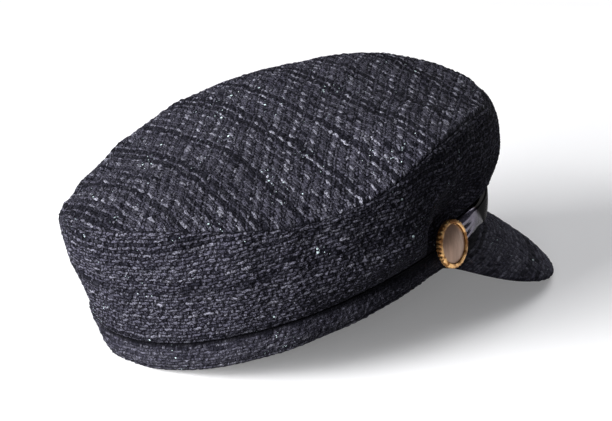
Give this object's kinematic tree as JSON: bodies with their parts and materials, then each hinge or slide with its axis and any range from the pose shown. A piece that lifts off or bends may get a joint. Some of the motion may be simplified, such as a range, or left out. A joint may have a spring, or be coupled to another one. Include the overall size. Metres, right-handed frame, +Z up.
{
  "type": "peaked cap",
  "caption": "Soft round-topped cap in heavy tweed with a short curved peak, a headband and a glossy strap held by metal buttons above the peak.",
  "frame": {"origin": "middle of the cap's footprint box, on the surface that it lies on", "axes": "+Z up, the peak points to -Y, and the wearer's left is +X"},
  "size_m": [0.1936, 0.2758, 0.111],
  "materials": {
    "tweed": "coarse dark charcoal tweed with black yarns and fine silver flecks",
    "patent": "glossy black patent",
    "gold": "polished gold metal, a little darkened in the grooves",
    "enamel": "taupe satin enamel"
  },
  "bodies": {
    "root": {"crown_top": "tweed", "crown_side": "tweed", "band": "tweed", "peak": "tweed", "strap": "patent", "button_rim_right": "gold", "button_face_right": "enamel", "button_rim_left": "gold", "button_face_left": "enamel"}
  },
  "joints": []
}
